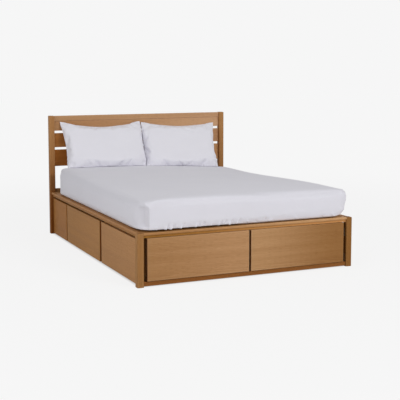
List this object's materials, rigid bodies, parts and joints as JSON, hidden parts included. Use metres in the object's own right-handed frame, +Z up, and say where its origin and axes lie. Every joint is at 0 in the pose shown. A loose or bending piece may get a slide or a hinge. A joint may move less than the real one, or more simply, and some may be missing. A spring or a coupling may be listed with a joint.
{
  "type": "storage bed",
  "caption": "Low wooden platform bed with a slatted headboard, flush storage drawers in its foot end and sides opened by finger gaps, and a made-up mattress with pillows.",
  "frame": {"origin": "on the floor, at the middle of the bed's outline", "axes": "+Z up, +Y along the bed towards the headboard, +X to the right seen from the foot end"},
  "size_m": [1.66, 2.208, 1.024],
  "materials": {
    "oak": "medium oak, satin lacquer",
    "inner_pine": "plain pine, unlacquered",
    "drawer_box_birch": "birch, clear lacquer",
    "drawer_bottom_ply": "birch plywood, clear lacquer",
    "slide_steel": "zinc-plated steel",
    "plate_steel": "zinc-plated steel",
    "mattress_ticking": "knitted ticking over foam",
    "cotton_sheet": "white cotton percale",
    "pillow_cotton": "white cotton percale over filling"
  },
  "bodies": {
    "frame": {"bay_partition_left": "inner_pine", "bay_partition_right": "inner_pine", "centre_divider": "inner_pine", "cross_partition_foot": "inner_pine", "cross_partition_head": "inner_pine", "deck_slats": "inner_pine", "fitted_sheet": "cotton_sheet", "foot_bottom_rail": "oak", "foot_cap_rail": "oak", "foot_post_left": "oak", "foot_post_right": "oak", "foot_sub_rail": "oak", "head_post_left": "oak", "head_post_right": "oak", "headboard_lower_panel": "oak", "headboard_lower_slat": "oak", "headboard_middle_slat": "oak", "headboard_top_rail": "oak", "headboard_upper_slat": "oak", "joint_plates": "plate_steel", "mattress": "mattress_ticking", "panel_battens": "inner_pine", "pillow_left": "pillow_cotton", "pillow_right": "pillow_cotton", "side_cap_rail_left": "oak", "side_cap_rail_right": "oak", "side_foot_panel_left": "oak", "side_foot_panel_right": "oak", "side_head_panel_left": "oak", "side_head_panel_right": "oak", "side_sub_rail_left": "oak", "side_sub_rail_right": "oak", "slat_ledge_left": "inner_pine", "slat_ledge_right": "inner_pine", "slide_outer_channels": "slide_steel"},
    "foot_drawer_left": {"foot_drawer_left_back": "drawer_box_birch", "foot_drawer_left_bottom": "drawer_bottom_ply", "foot_drawer_left_front": "oak", "foot_drawer_left_sides": "drawer_box_birch", "foot_drawer_left_slide_inner": "slide_steel"},
    "foot_drawer_left_slides": {"foot_drawer_left_slide_middle": "slide_steel"},
    "foot_drawer_right": {"foot_drawer_right_back": "drawer_box_birch", "foot_drawer_right_bottom": "drawer_bottom_ply", "foot_drawer_right_front": "oak", "foot_drawer_right_sides": "drawer_box_birch", "foot_drawer_right_slide_inner": "slide_steel"},
    "foot_drawer_right_slides": {"foot_drawer_right_slide_middle": "slide_steel"},
    "side_drawer_left": {"side_drawer_left_back": "drawer_box_birch", "side_drawer_left_bottom": "drawer_bottom_ply", "side_drawer_left_front": "oak", "side_drawer_left_sides": "drawer_box_birch", "side_drawer_left_slide_inner": "slide_steel"},
    "side_drawer_left_slides": {"side_drawer_left_slide_middle": "slide_steel"},
    "side_drawer_right": {"side_drawer_right_back": "drawer_box_birch", "side_drawer_right_bottom": "drawer_bottom_ply", "side_drawer_right_front": "oak", "side_drawer_right_sides": "drawer_box_birch", "side_drawer_right_slide_inner": "slide_steel"},
    "side_drawer_right_slides": {"side_drawer_right_slide_middle": "slide_steel"}
  },
  "joints": [
    {"name": "foot_drawer_left_pull", "type": "slide", "parent": "frame", "child": "foot_drawer_left", "axis": [0, -1, 0], "range_m": [0, 0.55]},
    {"name": "foot_drawer_left_slides_run", "type": "slide", "parent": "frame", "child": "foot_drawer_left_slides", "axis": [0, -1, 0], "range_m": [0, 0.275]},
    {"name": "foot_drawer_right_pull", "type": "slide", "parent": "frame", "child": "foot_drawer_right", "axis": [0, -1, 0], "range_m": [0, 0.55]},
    {"name": "foot_drawer_right_slides_run", "type": "slide", "parent": "frame", "child": "foot_drawer_right_slides", "axis": [0, -1, 0], "range_m": [0, 0.275]},
    {"name": "side_drawer_left_pull", "type": "slide", "parent": "frame", "child": "side_drawer_left", "axis": [-1, 0, 0], "range_m": [0, 0.55]},
    {"name": "side_drawer_left_slides_run", "type": "slide", "parent": "frame", "child": "side_drawer_left_slides", "axis": [-1, 0, 0], "range_m": [0, 0.275]},
    {"name": "side_drawer_right_pull", "type": "slide", "parent": "frame", "child": "side_drawer_right", "axis": [1, 0, 0], "range_m": [0, 0.55]},
    {"name": "side_drawer_right_slides_run", "type": "slide", "parent": "frame", "child": "side_drawer_right_slides", "axis": [1, 0, 0], "range_m": [0, 0.275]}
  ],
  "couplings": [
    {"joint": "foot_drawer_left_slides_run", "follows": "foot_drawer_left_pull", "ratio": 0.5},
    {"joint": "foot_drawer_right_slides_run", "follows": "foot_drawer_right_pull", "ratio": 0.5},
    {"joint": "side_drawer_left_slides_run", "follows": "side_drawer_left_pull", "ratio": 0.5},
    {"joint": "side_drawer_right_slides_run", "follows": "side_drawer_right_pull", "ratio": 0.5}
  ]
}
